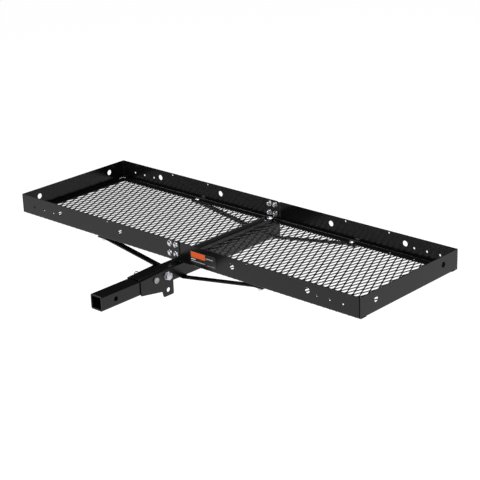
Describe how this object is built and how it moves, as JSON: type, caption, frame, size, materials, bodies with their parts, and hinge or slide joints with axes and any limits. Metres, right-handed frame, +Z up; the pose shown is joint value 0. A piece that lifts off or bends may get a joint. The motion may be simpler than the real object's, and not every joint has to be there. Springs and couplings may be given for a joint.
{
  "type": "hitch cargo carrier",
  "caption": "Folding hitch cargo carrier: a black steel tray with an expanded metal floor on a square tube, hinged to a shank for a 2 inch receiver.",
  "frame": {"origin": "centre of the hitch pin hole through the shank", "axes": "+X along the tray's length, +Y from the vehicle towards the tray, +Z up"},
  "size_m": [1.54, 0.855, 0.1676],
  "materials": {
    "black_powder_coat": "gloss",
    "floor_powder_coat": "satin",
    "zinc_plate": "satin",
    "bare_steel": "matte",
    "label_vinyl": "gloss"
  },
  "bodies": {
    "shank": {"shank_tube": "black_powder_coat", "pivot_bracket": "black_powder_coat", "pivot_bolt": "zinc_plate", "pivot_washers": "zinc_plate", "pivot_nut": "zinc_plate"},
    "carrier": {"center_tube": "black_powder_coat", "pivot_sleeve": "bare_steel", "left_front_rail": "black_powder_coat", "left_rear_rail": "black_powder_coat", "left_end_rail": "black_powder_coat", "left_seam_bar": "black_powder_coat", "left_mesh_floor": "floor_powder_coat", "right_front_rail": "black_powder_coat", "right_rear_rail": "black_powder_coat", "right_end_rail": "black_powder_coat", "right_seam_bar": "black_powder_coat", "right_mesh_floor": "floor_powder_coat", "front_brace": "black_powder_coat", "rear_brace": "black_powder_coat", "brace_bolts": "zinc_plate", "brace_washers": "zinc_plate", "brace_nuts": "zinc_plate", "floor_bolts": "zinc_plate", "floor_washers": "zinc_plate", "floor_weld_nuts": "bare_steel", "front_seam_bolts": "zinc_plate", "front_seam_nuts": "zinc_plate", "rear_seam_bolts": "zinc_plate", "rear_seam_nuts": "zinc_plate", "label_plate": "label_vinyl"},
    "lock": {"lock_pin": "zinc_plate"},
    "clip": {"hairpin_clip": "zinc_plate"}
  },
  "joints": [
    {"name": "fold", "type": "hinge", "parent": "shank", "child": "carrier", "pos_m": [0, 0.224, 0.0077], "axis": [1, 0, 0], "range_deg": [0, 94]},
    {"name": "lock_pin_slide", "type": "slide", "parent": "shank", "child": "lock", "axis": [1, 0, 0], "range_m": [0, 0.005]},
    {"name": "clip_pull", "type": "slide", "parent": "lock", "child": "clip", "axis": [0, -0.6947, 0.7193], "range_m": [0, 0.045]}
  ]
}
